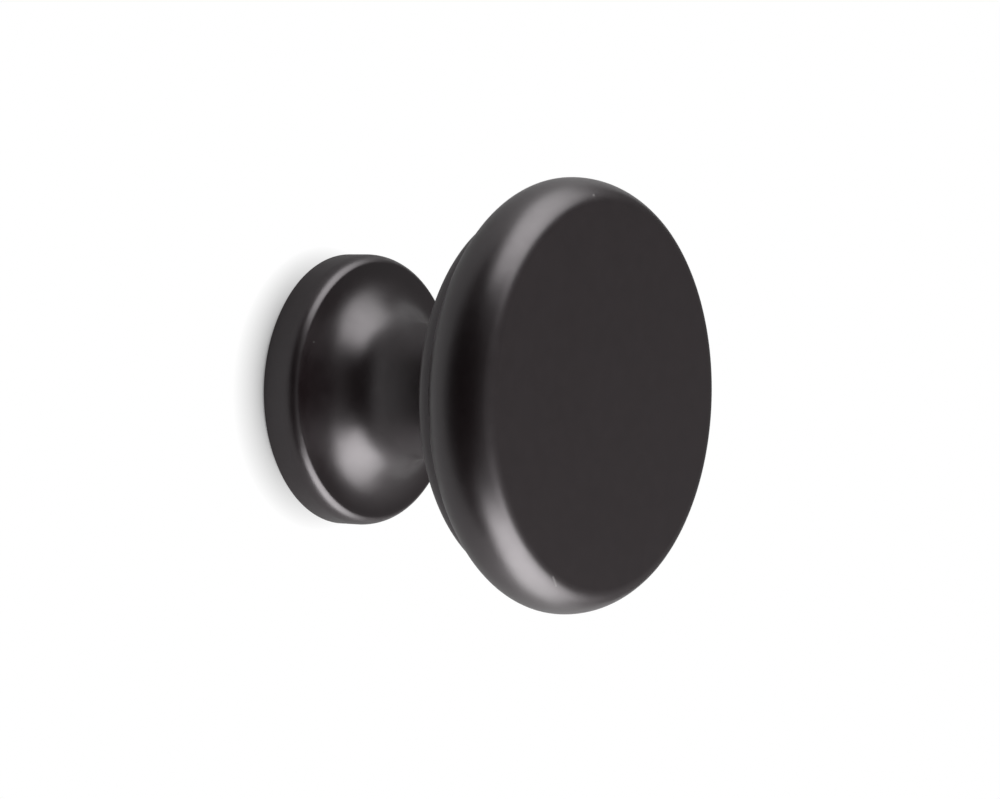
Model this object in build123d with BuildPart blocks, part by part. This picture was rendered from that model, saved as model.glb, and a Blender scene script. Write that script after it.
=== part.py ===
from build123d import *
import math
import os

# Cabinet knob, turned in one piece. Millimetres, +Z out from the furniture,
# with the origin at the centre of the face that meets it.

# Overall
projection = 24.1
head_d = 32.0

# Head: a faintly crowned face with a tight round at its edge, and full rounds before and behind the rim.
# The tight round takes over where the surface leans in by face_edge_lean degrees.
face_crown = 0.15
face_edge_round = 1.5
face_edge_lean = 40.0
front_round_rise = 3.65
front_round_in = 3.1
rim_back_round = 2.75

# Collar behind the head, with a rounded back edge
collar_d = 27.8
collar_stand = 1.6
collar_edge_round = 1.15

# Neck, at its narrowest
waist_d = 10.3
waist_z = 7.6

# Base, with an eased top edge and a narrow flat shoulder
base_d = 20.7
base_h = 3.05
base_edge_rise = 1.3
base_edge_in = 0.7
shoulder_w = 0.25
foot_break = 0.15

# Blind hole for an M4 machine screw, at its tapping-drill size, with a drilled point
screw_drill_d = 3.3
screw_mouth_d = 4.4
screw_mouth_angle = 90.0
screw_hole_depth = 12.0
drill_point_angle = 118.0

# Radii and heights that follow
head_r = head_d / 2
front_centre_r = head_r - front_round_in
edge_lean = math.radians(face_edge_lean)
front_sweep = math.atan(front_round_rise / front_round_in * math.tan(edge_lean))
face_r = front_centre_r + front_round_in * math.cos(front_sweep) - face_edge_round * math.cos(edge_lean)
edge_centre_z = projection - face_crown - face_edge_round
rim_z = edge_centre_z + face_edge_round * math.sin(edge_lean) - front_round_rise * math.sin(front_sweep)
crown_radius = (face_r**2 + face_crown**2) / (2 * face_crown)
crown_angle = math.degrees(math.asin(face_r / crown_radius))
head_back_z = rim_z - rim_back_round
head_back_r = head_r - rim_back_round

collar_r = collar_d / 2
collar_back_z = head_back_z - collar_stand
flare_r = collar_r - collar_edge_round

waist_r = waist_d / 2
base_r = base_d / 2
shoulder_r = base_r - base_edge_in
cove_r = shoulder_r - shoulder_w
base_wall_top_z = base_h - base_edge_rise

drill_r = screw_drill_d / 2
mouth_r = screw_mouth_d / 2
mouth_depth = (mouth_r - drill_r) / math.tan(math.radians(screw_mouth_angle / 2))
point_depth = drill_r / math.tan(math.radians(drill_point_angle / 2))

with BuildPart() as knob:
    with BuildSketch(Plane.XZ):
        # Half section of the base, the neck and the collar, which runs on into the head
        with BuildLine():
            Line((0, 0), (base_r - foot_break, 0))
            Line((base_r - foot_break, 0), (base_r, foot_break))
            Line((base_r, foot_break), (base_r, base_wall_top_z))
            EllipticalCenterArc((shoulder_r, base_wall_top_z), base_edge_in, base_edge_rise, 0, arc_size=90)
            Line((shoulder_r, base_h), (cove_r, base_h))
            EllipticalCenterArc((cove_r, waist_z), cove_r - waist_r, waist_z - base_h, 180, arc_size=90)
            EllipticalCenterArc((flare_r, waist_z), flare_r - waist_r, collar_back_z - waist_z, 90, arc_size=90)
            CenterArc((flare_r, collar_back_z + collar_edge_round), collar_edge_round, 270, 90)
            Line((collar_r, collar_back_z + collar_edge_round), (collar_r, rim_z))
            Line((collar_r, rim_z), (0, rim_z))
            Line((0, rim_z), (0, 0))
        make_face()

        # Half section of the head
        with BuildLine():
            Line((0, head_back_z), (head_back_r, head_back_z))
            CenterArc((head_back_r, rim_z), rim_back_round, 270, 90)
            EllipticalCenterArc(
                (front_centre_r, rim_z), front_round_in, front_round_rise, 0, arc_size=math.degrees(front_sweep)
            )
            CenterArc((face_r, edge_centre_z), face_edge_round, face_edge_lean, 90 - face_edge_lean)
            CenterArc((0, projection - crown_radius), crown_radius, 90, -crown_angle)
            Line((0, projection), (0, head_back_z))
        make_face()
    revolve(axis=Axis.Z)

    # Screw hole: countersunk mouth, straight wall and the drill's point
    with BuildSketch(Plane.XZ):
        with BuildLine():
            Polyline(
                (0, 0),
                (mouth_r, 0),
                (drill_r, mouth_depth),
                (drill_r, screw_hole_depth),
                (0, screw_hole_depth + point_depth),
                close=True,
            )
        make_face()
    revolve(axis=Axis.Z, mode=Mode.SUBTRACT)
knob.part.label = "knob"

os.makedirs("parts", exist_ok=True)
export_step(knob.part, "parts/knob.step")
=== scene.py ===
import math

import bpy
from bpy.props import FloatProperty, FloatVectorProperty, IntProperty, PointerProperty
from mathutils import Matrix, Vector


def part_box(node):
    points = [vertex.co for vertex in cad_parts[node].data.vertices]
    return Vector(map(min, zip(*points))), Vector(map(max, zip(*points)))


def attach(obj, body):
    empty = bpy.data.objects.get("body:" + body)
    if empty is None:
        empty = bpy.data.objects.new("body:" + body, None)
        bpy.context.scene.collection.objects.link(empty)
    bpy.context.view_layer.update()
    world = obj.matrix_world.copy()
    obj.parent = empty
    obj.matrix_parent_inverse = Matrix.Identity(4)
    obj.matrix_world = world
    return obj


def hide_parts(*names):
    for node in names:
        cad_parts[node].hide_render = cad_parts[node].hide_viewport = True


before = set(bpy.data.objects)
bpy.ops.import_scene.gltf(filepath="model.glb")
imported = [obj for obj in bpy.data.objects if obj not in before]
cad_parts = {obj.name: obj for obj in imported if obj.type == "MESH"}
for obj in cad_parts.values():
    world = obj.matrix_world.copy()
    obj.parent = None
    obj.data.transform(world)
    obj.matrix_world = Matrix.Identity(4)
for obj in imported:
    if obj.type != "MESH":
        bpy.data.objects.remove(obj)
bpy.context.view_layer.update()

bl_info = {
    "name": "Cabinet Knob",
    "version": (1, 0, 0),
    "blender": (4, 5, 0),
    "location": "3D View > Sidebar > Cabinet Knob",
    "description": "Turns a painted cabinet knob with a tapped hole and sets it on a small photo stage",
    "category": "Object",
}

KNOB_LOW, KNOB_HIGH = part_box("knob")
KNOB_TALL = KNOB_HIGH.z - KNOB_LOW.z
KNOB_ACROSS = 2 * min(KNOB_HIGH.x, -KNOB_LOW.x)
MM = 0.001

# Haze in the paint: noise cells to a metre, how far it moves the roughness, and what a mark adds to that
HAZE_SCALE = 900.0
HAZE_DEPTH = 0.02
MARK_ROUGHER = 0.15

# Soft boxes, in lamp distances: width, height, and the middle's place behind and above the knob's foot
BOX_WIDTH = 1.38
BOX_HEIGHT = 1.62
BOX_BEHIND = 0.258
BOX_ABOVE = 0.861

# Camera: where it stands, what it aims at and which way is up in the picture
CAMERA_PLACE = (0.0, -0.19775, 0.1534)
CAMERA_AIM = (0.000435, 0.0, 0.01432)
CAMERA_UP = (-0.9995, -0.0163, -0.0262)

# Painted shadow on the floor at the base's front: its middle, and the distances between which it fades to
# even white. Inside it the lens sees the grey board with its rendered shadow
PAINTED_SHADOW_MIDDLE = (0.0, -3.0 * MM, 0.0)
PAINTED_SHADOW_FADE = (7.4 * MM, 10.8 * MM)

# Height above the floor, seen from the camera's side, over which the room goes from dark to lit
ROOM_DAWN = (math.radians(26), math.radians(58))

# Small marks in the paint, each from one point to another with its width, in millimetres
MARKS = (
    ((12.92, -6.37, 23.88), (13.59, -5.71, 23.73), 0.1),
    ((-14.53, -2.38, 23.74), (-14.5, -2.5, 23.74), 0.12),
    ((-3.42, -8.25, 3.05), (-3.4, -8.27, 3.05), 0.09),
)


# Properties


def setting(kind, name, description, default, **rest):
    return kind(name=name, description=description, default=default, min=0.0, **rest)


def length(name, description, default):
    return setting(FloatProperty, name, description, default, unit="LENGTH", subtype="DISTANCE", precision=5)


def angle(name, description, degrees):
    rest = {"max": math.pi / 2, "unit": "ROTATION", "subtype": "ANGLE"}
    return setting(FloatProperty, name, description, math.radians(degrees), **rest)


def share(name, description, default):
    return setting(FloatProperty, name, description, default, max=1.0, subtype="FACTOR")


def brightness(name, description, default):
    return setting(FloatProperty, name, description, default)


def color(name, description, default):
    return setting(FloatVectorProperty, name, description, default, size=3, max=1.0, subtype="COLOR")


class KnobSizes(bpy.types.PropertyGroup):
    """Sizes of the turned knob"""

    projection: length("Projection", "From the mounting face to the middle of the face", KNOB_TALL)
    head_diameter: length("Head Diameter", "Across the rim", KNOB_ACROSS)
    face_crown: length("Face Crown", "Rise of the face at its middle", 0.15 * MM)
    face_edge_round: length("Face Edge Round", "Radius of the tight round at the edge of the face", 1.5 * MM)
    face_edge_lean: angle("Face Edge Lean", "How far the surface leans in where that round begins", 40)
    front_round_rise: length("Front Round Rise", "Half height of the ellipse before the rim", 3.65 * MM)
    front_round_width: length("Front Round Width", "Half width of that ellipse", 3.1 * MM)
    rim_back_round: length("Rim Back Round", "Radius of the round behind the rim", 2.75 * MM)
    collar_diameter: length("Collar Diameter", "Across the collar behind the head", 27.8 * MM)
    collar_stand: length("Collar Stand", "How far the collar stands back from the head", 1.6 * MM)
    collar_edge_round: length("Collar Edge Round", "Radius of the collar's back edge", 1.15 * MM)
    waist_diameter: length("Waist Diameter", "Across the neck at its narrowest", 10.3 * MM)
    waist_height: length("Waist Height", "Height of the narrowest place", 7.6 * MM)
    base_diameter: length("Base Diameter", "Across the base", 20.7 * MM)
    base_height: length("Base Height", "Height of the base's shoulder", 3.05 * MM)
    base_edge_rise: length("Base Edge Rise", "Height of the base's eased top edge", 1.3 * MM)
    base_edge_width: length("Base Edge Width", "How far that edge runs in", 0.7 * MM)
    shoulder_width: length("Shoulder Width", "Flat between that edge and the cove", 0.25 * MM)
    foot_break: length("Foot Break", "Bevel round the foot of the base", 0.15 * MM)
    hole_diameter: length("Hole Diameter", "Across the crests of the thread", 3.3 * MM)
    hole_mouth: length("Hole Mouth", "Across the countersunk mouth of the hole", 4.4 * MM)
    hole_depth: length("Hole Depth", "From the mounting face to the end of the straight wall", 12.0 * MM)
    thread_diameter: length("Thread Diameter", "Across the roots of the thread", 4.0 * MM)
    thread_pitch: length("Thread Pitch", "From one turn of the thread to the next", 0.7 * MM)


class KnobFinish(bpy.types.PropertyGroup):
    """Finish of the knob"""

    segments: IntProperty(name="Segments", description="Faces round the knob", default=200, min=32, max=512)
    paint_color: color("Paint Color", "Colour of the satin black paint", (0.0048, 0.0016, 0.0022))
    shine_tint: color("Shine Tint", "Tint of the paint's shine", (1.0, 0.945, 0.975))
    paint_shine: share("Paint Shine", "Specular level of the paint", 1.0)
    paint_roughness: share("Paint Roughness", "Roughness of the paint", 0.35)
    grain_size: length("Grain Size", "Size of the grains in the paint's skin", 0.16 * MM)
    grain_depth: length("Grain Depth", "Depth of those grains", 0.004 * MM)
    mark_color: color("Mark Color", "Colour of the small marks in the paint", (0.09, 0.085, 0.085))
    metal_color: color("Metal Color", "Colour of the bare zinc in the tapped hole", (0.52, 0.52, 0.5))


class KnobStage(bpy.types.PropertyGroup):
    """Floor, lamps and camera round the knob"""

    floor_size: length("Floor Size", "Width of the pale floor", 0.6)
    floor_front: length("Floor Front", "From the knob's axis to the floor's front edge", 0.048)
    floor_color: color("Floor Color", "Colour of the floor", (0.44, 0.44, 0.44))
    # Share of white inside the painted shadow at the base's front, laid over the grey board and its rendered
    # shadow
    painted_shadow_white: share("Contact White", "Share of white that the lens sees in the base's shadow", 0.22)
    mirrored_white: share("Mirrored White", "How much of the pale surroundings the paint mirrors", 0.02)
    lamp_distance: length("Lamp Distance", "From the knob's axis to each of the two side soft boxes", 0.13)
    lamp_lean: angle("Lamp Lean", "Turn of each soft box in its own plane", 25)
    left_radiance: brightness("Left Radiance", "Brightness of the soft box on the -X side", 3.8)
    right_radiance: brightness("Right Radiance", "Brightness of the soft box on the +X side", 6.0)
    lamp_fade: share("Lamp Fade", "Brightness at the top of each soft box over that at its foot", 0.85)
    lamp_fade_back: share("Lamp Fade Back", "Brightness at each soft box's far edge over its middle", 0.4)
    room_left: brightness("Room Left", "Brightness of the room on the -X side", 0.17)
    room_right: brightness("Room Right", "Brightness of the room on the +X side", 0.33)
    room_above: brightness("Room Above", "What the ceiling adds to that", 0.08)
    focal_length: setting(FloatProperty, "Focal Length", "Of the camera's lens", 117.0, unit="CAMERA")


# Short calls for making node trees


class Graph:
    """Adds nodes to one tree and joins them"""

    def __init__(self, tree):
        self.tree = tree
        self.placed = 0

    def join(self, value, socket):
        if isinstance(value, bpy.types.NodeSocket):
            self.tree.links.new(value, socket)
        else:
            socket.default_value = value

    def add(self, kind, inputs=None, **settings):
        node = self.tree.nodes.new(kind)
        node.location = (190 * (self.placed % 14), -230 * (self.placed // 14))
        self.placed += 1
        for name, value in settings.items():
            setattr(node, name, value)
        for key, value in (inputs or {}).items():
            self.join(value, node.inputs[key])
        return node

    def math(self, operation, *values):
        node = self.add("ShaderNodeMath", operation=operation)
        for value, socket in zip(values, node.inputs):
            self.join(value, socket)
        return node.outputs[0]

    def vector_math(self, operation, *values):
        return self.add("ShaderNodeVectorMath", dict(enumerate(values)), operation=operation)

    def plus(self, a, b):
        return self.math("ADD", a, b)

    def minus(self, a, b):
        return self.math("SUBTRACT", a, b)

    def times(self, a, b):
        return self.math("MULTIPLY", a, b)

    def over(self, a, b):
        return self.math("DIVIDE", a, b)

    def half(self, a):
        return self.math("MULTIPLY", a, 0.5)

    def spread(self, value, low, high, to_low=0.0, to_high=1.0):
        inputs = {"Value": value, "From Min": low, "From Max": high, "To Min": to_low, "To Max": to_high}
        return self.add("ShaderNodeMapRange", inputs, clamp=True).outputs[0]


class Outline:
    """Half section of a turned piece, drawn point by point from one end on the axis to the other"""

    def __init__(self, graph, ring, r, z):
        self.graph = graph
        self.ring = ring
        self.steps = 0
        self.r = self.end_r = r
        self.z = self.end_z = z

    def grow(self, dr, dz):
        self.r = self.graph.plus(self.r, dr)
        self.z = self.graph.plus(self.z, dz)

    def line(self, steps, r, z):
        g = self.graph
        share = g.spread(self.ring, self.steps, self.steps + steps)
        self.grow(g.times(share, g.minus(r, self.end_r)), g.times(share, g.minus(z, self.end_z)))
        self.steps += steps
        self.end_r, self.end_z = r, z

    def arc(self, steps, radius_r, radius_z, start, end, r, z):
        """A part of an ellipse, between two angles in radians, that ends at r and z"""
        g = self.graph
        angle = g.spread(self.ring, self.steps, self.steps + steps, start, end)
        self.grow(
            g.times(radius_r, g.minus(g.math("COSINE", angle), g.math("COSINE", start))),
            g.times(radius_z, g.minus(g.math("SINE", angle), g.math("SINE", start))),
        )
        self.steps += steps
        self.end_r, self.end_z = r, z


def thread_radius(g, size, z, turn):
    """Radius of the tapped wall at a height and a turn: a 60 degree groove, right-handed round the axis"""
    root = g.half(size["Thread Diameter"])
    crest = g.half(size["Hole Diameter"])
    flank = g.times(g.minus(root, crest), math.tan(math.radians(30)))
    half_groove = g.plus(flank, g.times(size["Thread Pitch"], 1 / 16))
    place = g.math("FRACT", g.minus(g.over(z, size["Thread Pitch"]), turn))
    away = g.times(g.math("ABSOLUTE", g.minus(place, 0.5)), size["Thread Pitch"])
    cut = g.math("DIVIDE", g.minus(half_groove, away), flank)
    runout = g.spread(z, g.minus(size["Hole Depth"], 2 * MM), g.minus(size["Hole Depth"], 1.3 * MM), 1.0, 0.0)
    depth = g.times(g.spread(cut, 0.0, 1.0), runout)
    return g.plus(crest, g.times(depth, g.minus(root, crest)))


def turned_knob_tree(sizes):
    """A node tree that turns the knob's half section round +Z, with one input for each of its sizes"""
    tree = bpy.data.node_groups.new("Turned Knob", "GeometryNodeTree")
    tree.is_modifier = True
    tree.interface.new_socket("Geometry", in_out="OUTPUT", socket_type="NodeSocketGeometry")
    for prop in own_properties(sizes):
        socket = tree.interface.new_socket(prop.name, in_out="INPUT", socket_type="NodeSocketFloat")
        socket.subtype = prop.subtype if prop.subtype in ("DISTANCE", "ANGLE") else "NONE"
        socket.description = prop.description
        socket.default_value = prop.default
    tree.interface.new_socket("Segments", in_out="INPUT", socket_type="NodeSocketInt").default_value = 200
    tree.interface.new_socket("Paint", in_out="INPUT", socket_type="NodeSocketMaterial")
    tree.interface.new_socket("Bare Metal", in_out="INPUT", socket_type="NodeSocketMaterial")

    g = Graph(tree)
    size = g.add("NodeGroupInput").outputs
    quarter = math.pi / 2

    # Radii and heights that follow from the sizes
    head_r = g.half(size["Head Diameter"])
    edge_lean = size["Face Edge Lean"]
    slope = g.over(size["Front Round Rise"], size["Front Round Width"])
    front_sweep = g.math("ARCTANGENT", g.times(slope, g.math("TANGENT", edge_lean)))
    short = g.minus(1.0, g.math("COSINE", front_sweep))
    join_r = g.minus(head_r, g.times(size["Front Round Width"], short))
    face_r = g.minus(join_r, g.times(size["Face Edge Round"], g.math("COSINE", edge_lean)))
    face_edge_z = g.minus(size["Projection"], size["Face Crown"])
    left_over = g.minus(1.0, g.math("SINE", edge_lean))
    join_z = g.minus(face_edge_z, g.times(size["Face Edge Round"], left_over))
    rim_z = g.minus(join_z, g.times(size["Front Round Rise"], g.math("SINE", front_sweep)))
    head_back_r = g.minus(head_r, size["Rim Back Round"])
    collar_r = g.half(size["Collar Diameter"])
    collar_back_z = g.minus(g.minus(rim_z, size["Rim Back Round"]), size["Collar Stand"])
    flare_r = g.minus(collar_r, size["Collar Edge Round"])
    waist_r = g.half(size["Waist Diameter"])
    waist_z = size["Waist Height"]
    base_r = g.half(size["Base Diameter"])
    base_z = size["Base Height"]
    shoulder_r = g.minus(base_r, size["Base Edge Width"])
    cove_r = g.minus(shoulder_r, size["Shoulder Width"])
    hole_r = g.half(size["Hole Diameter"])
    mouth_r = g.half(size["Hole Mouth"])
    mouth_z = g.minus(mouth_r, hole_r)
    point_z = g.plus(size["Hole Depth"], g.times(hole_r, 1 / math.tan(math.radians(59))))

    # Where the back of the rim leaves the collar
    lean = g.math("ARCSINE", g.over(g.minus(collar_r, head_back_r), size["Rim Back Round"]))
    meet_z = g.minus(rim_z, g.times(size["Rim Back Round"], g.math("COSINE", lean)))

    # The face's crown is a shallow arc
    square = g.plus(g.times(face_r, face_r), g.times(size["Face Crown"], size["Face Crown"]))
    crown_radius = g.over(g.half(square), size["Face Crown"])
    crown_start = g.minus(quarter, g.math("ARCSINE", g.over(face_r, crown_radius)))

    # One grid column for each ring of the knob and one row for each step round it
    grid = g.add("GeometryNodeMeshGrid", {"Size X": 1.0, "Size Y": 1.0})
    place = g.add("ShaderNodeSeparateXYZ", {0: g.add("GeometryNodeInputPosition").outputs[0]})
    along = g.add("ShaderNodeMath", {0: g.plus(place.outputs["X"], 0.5)}, operation="MULTIPLY")
    turn = g.plus(place.outputs["Y"], 0.5)
    g.join(g.plus(size["Segments"], 1), grid.inputs["Vertices Y"])
    ring = g.math("ROUND", along.outputs[0])

    outline = Outline(g, ring, 0.0, point_z)
    outline.line(3, hole_r, size["Hole Depth"])
    outline.line(156, hole_r, mouth_z)
    outline.line(8, mouth_r, 0.0)
    hole_steps = outline.steps
    outline.line(8, g.minus(base_r, size["Foot Break"]), 0.0)
    outline.line(1, base_r, size["Foot Break"])
    edge_z = g.minus(base_z, size["Base Edge Rise"])
    outline.line(2, base_r, edge_z)
    outline.arc(18, size["Base Edge Width"], size["Base Edge Rise"], 0.0, quarter, shoulder_r, base_z)
    outline.line(1, cove_r, base_z)
    cove_width = g.minus(cove_r, waist_r)
    cove_height = g.minus(waist_z, base_z)
    outline.arc(48, cove_width, cove_height, 3 * quarter, 2 * quarter, waist_r, waist_z)
    flare_width = g.minus(flare_r, waist_r)
    flare_height = g.minus(collar_back_z, waist_z)
    outline.arc(40, flare_width, flare_height, 2 * quarter, quarter, flare_r, collar_back_z)
    edge = size["Collar Edge Round"]
    outline.arc(14, edge, edge, 3 * quarter, 4 * quarter, collar_r, g.plus(collar_back_z, edge))
    outline.line(2, collar_r, meet_z)
    back = size["Rim Back Round"]
    outline.arc(24, back, back, g.plus(3 * quarter, lean), 4 * quarter, head_r, rim_z)
    outline.arc(30, size["Front Round Width"], size["Front Round Rise"], 0.0, front_sweep, join_r, join_z)
    outline.arc(20, size["Face Edge Round"], size["Face Edge Round"], edge_lean, quarter, face_r, face_edge_z)
    outline.arc(24, crown_radius, crown_radius, crown_start, quarter, 0.0, size["Projection"])

    # The outline has now counted its steps, which gives the number of rings
    along.inputs[1].default_value = outline.steps
    grid.inputs["Vertices X"].default_value = outline.steps + 1

    # The thread is cut into the hole's wall and mouth
    in_hole = g.math("LESS_THAN", ring, hole_steps + 0.5)
    past_point = g.math("GREATER_THAN", ring, 2.5)
    tapped = g.times(thread_radius(g, size, outline.z, turn), g.times(in_hole, past_point))
    radius = g.math("MAXIMUM", outline.r, tapped)

    angle = g.times(turn, 2 * math.pi)
    x = g.times(radius, g.math("COSINE", angle))
    y = g.times(radius, g.math("SINE", angle))
    spot = g.add("ShaderNodeCombineXYZ", {"X": x, "Y": y, "Z": outline.z}).outputs[0]
    # What is in the hole is kept before the points move, because it is read from their places on the grid
    kept = g.add("GeometryNodeCaptureAttribute", domain="POINT")
    kept.capture_items.new("BOOLEAN", "In Hole")
    g.join(grid.outputs["Mesh"], kept.inputs["Geometry"])
    g.join(in_hole, kept.inputs["In Hole"])
    moved = {"Geometry": kept.outputs["Geometry"], "Position": spot}
    turned = g.add("GeometryNodeSetPosition", moved).outputs[0]
    closed = g.add("GeometryNodeMergeByDistance", {"Geometry": turned, "Distance": 0.5e-6}).outputs[0]
    outward = g.add("GeometryNodeFlipFaces", {"Mesh": closed}).outputs[0]
    smooth = g.add("GeometryNodeSetShadeSmooth", {"Geometry": outward}, domain="FACE").outputs[0]
    bend = g.add("GeometryNodeInputMeshEdgeAngle").outputs["Unsigned Angle"]
    crisp = g.math("GREATER_THAN", bend, math.radians(26))
    sharp = {"Geometry": smooth, "Selection": crisp, "Shade Smooth": False}
    edged = g.add("GeometryNodeSetShadeSmooth", sharp, domain="EDGE")
    real = g.add("GeometryNodeRealizeInstances", {"Geometry": edged.outputs[0]}).outputs[0]
    painted = g.add("GeometryNodeSetMaterial", {"Geometry": real, "Material": size["Paint"]}).outputs[0]
    tapped_part = {"Geometry": painted, "Selection": kept.outputs["In Hole"], "Material": size["Bare Metal"]}
    bare = g.add("GeometryNodeSetMaterial", tapped_part)
    out = g.add("NodeGroupOutput")
    g.join(bare.outputs[0], out.inputs[0])
    return tree


def own_properties(group):
    """The settings that a property group declares itself"""
    return [p for p in group.bl_rna.properties if p.identifier not in ("rna_type", "name")]


def plain_mesh(piece):
    """Turns a piece with a node modifier into a plain mesh that stands by itself"""
    graph = bpy.context.evaluated_depsgraph_get()
    mesh = bpy.data.meshes.new_from_object(piece.evaluated_get(graph), depsgraph=graph)
    mesh.name = piece.name
    piece.modifiers.clear()
    piece.data = mesh
    return piece


# Materials


def new_material(name):
    material = bpy.data.materials.new(name)
    material.use_nodes = True
    material.node_tree.nodes.clear()
    return material, Graph(material.node_tree)


def stroke(g, where, start, end, width):
    """1 along a fine straight mark between two points, falling to 0 beside it"""
    run = Vector(end) - Vector(start)
    reach = g.vector_math("SUBTRACT", where, start).outputs[0]
    along = g.vector_math("DOT_PRODUCT", reach, run / run.length_squared).outputs["Value"]
    scaled = {0: run, "Scale": g.spread(along, 0.0, 1.0)}
    foot = g.add("ShaderNodeVectorMath", scaled, operation="SCALE").outputs[0]
    away = g.vector_math("DISTANCE", reach, foot).outputs["Value"]
    return g.spread(away, 0.4 * width, width, 1.0, 0.0)


def satin_black_paint(finish):
    """Satin black paint on cast metal, with a fine grain, slight haze and a few small marks"""
    material, g = new_material("satin_black_paint")
    where = g.add("ShaderNodeTexCoord").outputs["Object"]
    noise = {"Vector": where, "Detail": 3.0, "Roughness": 0.6}
    grain = g.add("ShaderNodeTexNoise", {**noise, "Scale": 1 / finish.grain_size})
    haze = g.add("ShaderNodeTexNoise", {**noise, "Scale": HAZE_SCALE})
    mean = finish.paint_roughness
    even = g.spread(haze.outputs[0], 0.3, 0.7, mean - HAZE_DEPTH, mean + HAZE_DEPTH)
    worn = 0.0
    for start, end, width in MARKS:
        mark = stroke(g, where, [c * MM for c in start], [c * MM for c in end], width * MM)
        worn = g.math("MAXIMUM", worn, mark)
    rough = g.plus(even, g.times(worn, MARK_ROUGHER))
    relief = {"Height": grain.outputs[0], "Strength": 0.6, "Distance": finish.grain_depth}
    bump = g.add("ShaderNodeBump", relief)
    tint = g.add("ShaderNodeMix", {"Factor": haze.outputs[0]}, data_type="RGBA")
    color = finish.paint_color
    tint.inputs[6].default_value = [0.85 * c for c in color] + [1.0]
    tint.inputs[7].default_value = [1.15 * c for c in color] + [1.0]
    bare = g.add("ShaderNodeMix", {"Factor": worn, 6: tint.outputs[2]}, data_type="RGBA")
    bare.inputs[7].default_value = list(finish.mark_color) + [1.0]
    skin = {"Base Color": bare.outputs[2], "Roughness": rough, "Normal": bump.outputs[0]}
    paint = g.add("ShaderNodeBsdfPrincipled", skin)
    paint.inputs["IOR"].default_value = 1.5
    paint.inputs["Specular IOR Level"].default_value = finish.paint_shine
    paint.inputs["Specular Tint"].default_value = list(finish.shine_tint) + [1.0]
    out = g.add("ShaderNodeOutputMaterial")
    g.join(paint.outputs[0], out.inputs["Surface"])
    return material


def bare_zinc(finish):
    """Bare zinc as the tap leaves it"""
    material, g = new_material("bare_zinc")
    where = g.add("ShaderNodeTexCoord").outputs["Object"]
    speckle = g.add("ShaderNodeTexNoise", {"Vector": where, "Scale": 4000.0, "Detail": 2.0})
    rough = g.spread(speckle.outputs[0], 0.3, 0.7, 0.3, 0.45)
    metal = g.add("ShaderNodeBsdfPrincipled", {"Roughness": rough, "Metallic": 1.0})
    metal.inputs["Base Color"].default_value = list(finish.metal_color) + [1.0]
    out = g.add("ShaderNodeOutputMaterial")
    g.join(metal.outputs[0], out.inputs["Surface"])
    return material


def seen_white(g, stage):
    """1 where the lens sees the surroundings, and a small share of that where the paint mirrors them"""
    ray = g.add("ShaderNodeLightPath").outputs
    bounced = g.math("MAXIMUM", ray["Is Glossy Ray"], ray["Is Transmission Ray"])
    mirrored = g.times(bounced, stage.mirrored_white)
    return g.math("MAXIMUM", ray["Is Camera Ray"], mirrored)


def floor_board(stage):
    """Matt pale board. The lens sees it as even white, apart from a painted shadow at the front of the base,
    where it shows the grey board with its rendered shadow
    """
    material, g = new_material("floor_board")
    board = g.add("ShaderNodeBsdfDiffuse")
    board.inputs["Color"].default_value = list(stage.floor_color) + [1.0]
    even = g.add("ShaderNodeEmission", {"Strength": 1.0})
    where = g.add("ShaderNodeTexCoord").outputs["Object"]
    # Painted shadow: within this fade the lens sees the grey board and its rendered shadow, and further out
    # even white
    away = g.vector_math("DISTANCE", where, PAINTED_SHADOW_MIDDLE).outputs["Value"]
    outside_painted_shadow = g.spread(away, *PAINTED_SHADOW_FADE, stage.painted_shadow_white, 1.0)
    mix = g.add("ShaderNodeMixShader", {"Fac": g.times(seen_white(g, stage), outside_painted_shadow)})
    g.join(board.outputs[0], mix.inputs[1])
    g.join(even.outputs[0], mix.inputs[2])
    out = g.add("ShaderNodeOutputMaterial")
    g.join(mix.outputs[0], out.inputs["Surface"])
    return material


def studio_room(stage):
    """Soft room light, dimmer to the left, brighter overhead, and dark low on the camera's side

    The lens sees an even pale grey instead.
    """
    world = bpy.data.worlds.new("studio_room")
    world.use_nodes = True
    world.node_tree.nodes.clear()
    g = Graph(world.node_tree)
    way = g.add("ShaderNodeSeparateXYZ", {0: g.add("ShaderNodeTexCoord").outputs["Generated"]}).outputs
    side = g.spread(way["X"], -0.28, 0.28, stage.room_left, stage.room_right)
    above = g.spread(way["Z"], 0.5, 0.95, 0.0, stage.room_above)
    rise = g.math("ARCTAN2", way["Z"], g.times(way["Y"], -1.0))
    front = g.spread(rise, *ROOM_DAWN)
    level = g.times(g.plus(side, above), front)
    white = seen_white(g, stage)
    strength = g.plus(white, g.times(level, g.minus(1.0, white)))
    background = g.add("ShaderNodeBackground", {"Strength": strength})
    out = g.add("ShaderNodeOutputWorld")
    g.join(background.outputs[0], out.inputs["Surface"])
    return world


# Operators


class KNOB_OT_turn(bpy.types.Operator):
    """Turn the whole knob, with its tapped hole, in place of the plain CAD one"""

    bl_idname = "cabinet_knob.turn"
    bl_label = "Turn Knob"

    def execute(self, context):
        sizes = context.scene.knob_sizes
        finish = context.scene.knob_finish
        piece = bpy.data.objects.new("knob_turned", bpy.data.meshes.new("knob_turned"))
        context.scene.collection.objects.link(piece)
        tree = turned_knob_tree(sizes)
        modifier = piece.modifiers.new("Turned Knob", "NODES")
        modifier.node_group = tree
        values = {p.name: getattr(sizes, p.identifier) for p in own_properties(sizes)}
        values["Segments"] = finish.segments
        values["Paint"] = satin_black_paint(finish)
        values["Bare Metal"] = bare_zinc(finish)
        for item in tree.interface.items_tree:
            if item.in_out == "INPUT":
                modifier[item.identifier] = values[item.name]
        plain_mesh(piece)
        if len(piece.data.polygons) < 1000:
            raise RuntimeError("the turned knob has no surface")
        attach(piece, "root")
        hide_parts("knob")
        return {"FINISHED"}


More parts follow.
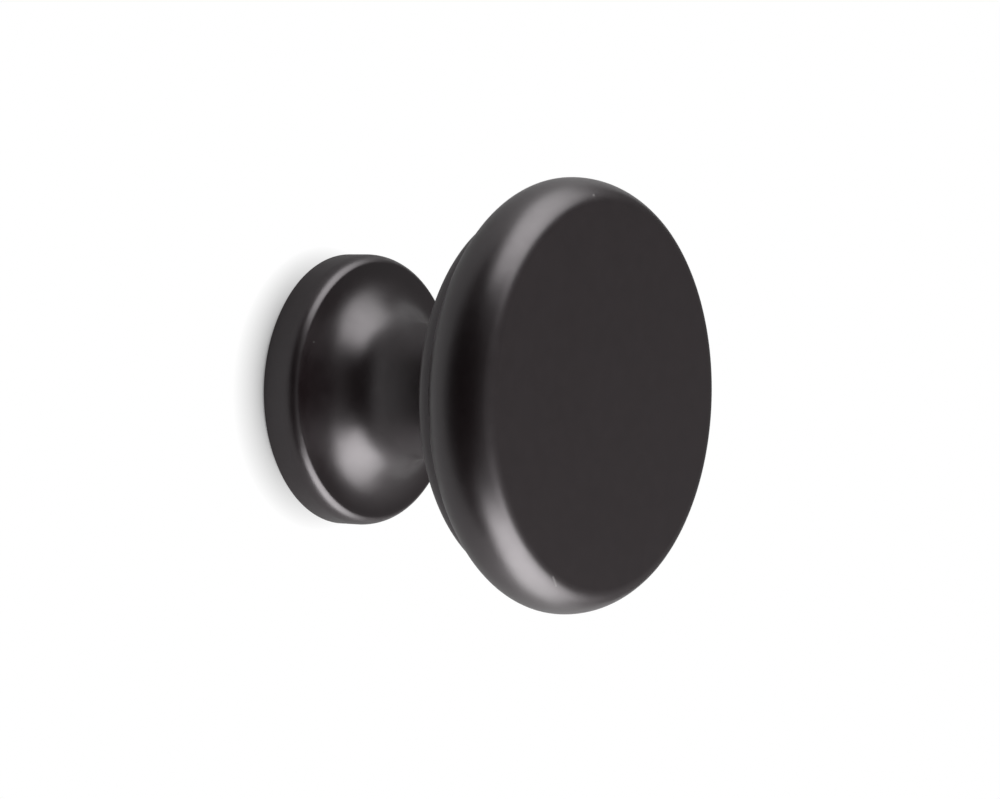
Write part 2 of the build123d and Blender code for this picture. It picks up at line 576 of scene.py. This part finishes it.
class KNOB_OT_stage(bpy.types.Operator):
    """Lay the floor, hang the lamps and set the camera"""

    bl_idname = "cabinet_knob.stage"
    bl_label = "Set Stage"

    def execute(self, context):
        scene = context.scene
        stage = scene.knob_stage
        half = stage.floor_size / 2
        front = -stage.floor_front
        mesh = bpy.data.meshes.new("floor")
        corners = [(-half, front, 0), (half, front, 0), (half, half, 0), (-half, half, 0)]
        mesh.from_pydata(corners, [], [(0, 1, 2, 3)])
        mesh.materials.append(floor_board(stage))
        floor = bpy.data.objects.new("floor", mesh)
        scene.collection.objects.link(floor)
        scene.world = studio_room(stage)

        # Each soft box stands upright beside the knob, turned in its own plane, and faces straight across.
        # It fades towards its top and towards the edge that is away from the camera.
        lean = stage.lamp_lean
        far = stage.lamp_distance
        for name, side, radiance in (
            ("soft_box_left", -1, stage.left_radiance),
            ("soft_box_right", 1, stage.right_radiance),
        ):
            lamp = bpy.data.lights.new(name, "AREA")
            lamp.shape = "RECTANGLE"
            lamp.size = BOX_WIDTH * far
            lamp.size_y = BOX_HEIGHT * far
            lamp.energy = radiance * math.pi * lamp.size * lamp.size_y
            lamp.use_nodes = True
            lamp.node_tree.nodes.clear()
            g = Graph(lamp.node_tree)
            on_box = g.add("ShaderNodeNewGeometry").outputs["Parametric"]
            spot = g.add("ShaderNodeSeparateXYZ", {0: on_box}).outputs
            upward = g.spread(spot["Y"], 0.2, 1.0, 1.0, stage.lamp_fade)
            backward = g.spread(spot["X"], 0.5, 0.5 + 0.5 * side, 1.0, stage.lamp_fade_back)
            glow = g.add("ShaderNodeEmission", {"Strength": g.times(upward, backward)})
            g.join(glow.outputs[0], g.add("ShaderNodeOutputLight").inputs["Surface"])
            box = bpy.data.objects.new(name, lamp)
            up = Vector((0.0, math.sin(lean), math.cos(lean)))
            behind = Vector((side, 0.0, 0.0))
            across = up.cross(behind)
            place = Vector((side * far, BOX_BEHIND * far, BOX_ABOVE * far))
            box.matrix_world = Matrix.Translation(place) @ Matrix((across, up, behind)).transposed().to_4x4()
            box.visible_camera = False
            scene.collection.objects.link(box)

        camera = bpy.data.objects.new("camera", bpy.data.cameras.new("camera"))
        camera.data.lens = stage.focal_length
        camera.data.sensor_width = 36.0
        camera.data.clip_start = 0.01
        camera.data.clip_end = 10.0
        place = Vector(CAMERA_PLACE)
        back = (place - Vector(CAMERA_AIM)).normalized()
        right = Vector(CAMERA_UP).cross(back).normalized()
        up = back.cross(right)
        camera.matrix_world = Matrix.Translation(place) @ Matrix((right, up, back)).transposed().to_4x4()
        scene.collection.objects.link(camera)
        scene.camera = camera
        scene.view_settings.view_transform = "Standard"
        return {"FINISHED"}


class KNOB_PT_panel(bpy.types.Panel):
    """Steps and settings for the knob"""

    bl_idname = "KNOB_PT_panel"
    bl_label = "Cabinet Knob"
    bl_space_type = "VIEW_3D"
    bl_region_type = "UI"
    bl_category = "Cabinet Knob"

    def draw(self, context):
        for name, label, step in (
            ("knob_sizes", "Sizes", KNOB_OT_turn),
            ("knob_finish", "Finish", None),
            ("knob_stage", "Stage", KNOB_OT_stage),
        ):
            box = self.layout.box()
            box.label(text=label)
            group = getattr(context.scene, name)
            for prop in own_properties(group):
                box.prop(group, prop.identifier)
            if step:
                box.operator(step.bl_idname)


CLASSES = (KnobSizes, KnobFinish, KnobStage, KNOB_OT_turn, KNOB_OT_stage, KNOB_PT_panel)


def register():
    for cls in CLASSES:
        bpy.utils.register_class(cls)
    bpy.types.Scene.knob_sizes = PointerProperty(type=KnobSizes)
    bpy.types.Scene.knob_finish = PointerProperty(type=KnobFinish)
    bpy.types.Scene.knob_stage = PointerProperty(type=KnobStage)


def unregister():
    del bpy.types.Scene.knob_stage
    del bpy.types.Scene.knob_finish
    del bpy.types.Scene.knob_sizes
    for cls in reversed(CLASSES):
        bpy.utils.unregister_class(cls)


def main():
    register()
    bpy.ops.cabinet_knob.turn()
    bpy.ops.cabinet_knob.stage()


if __name__ == "__main__":
    main()
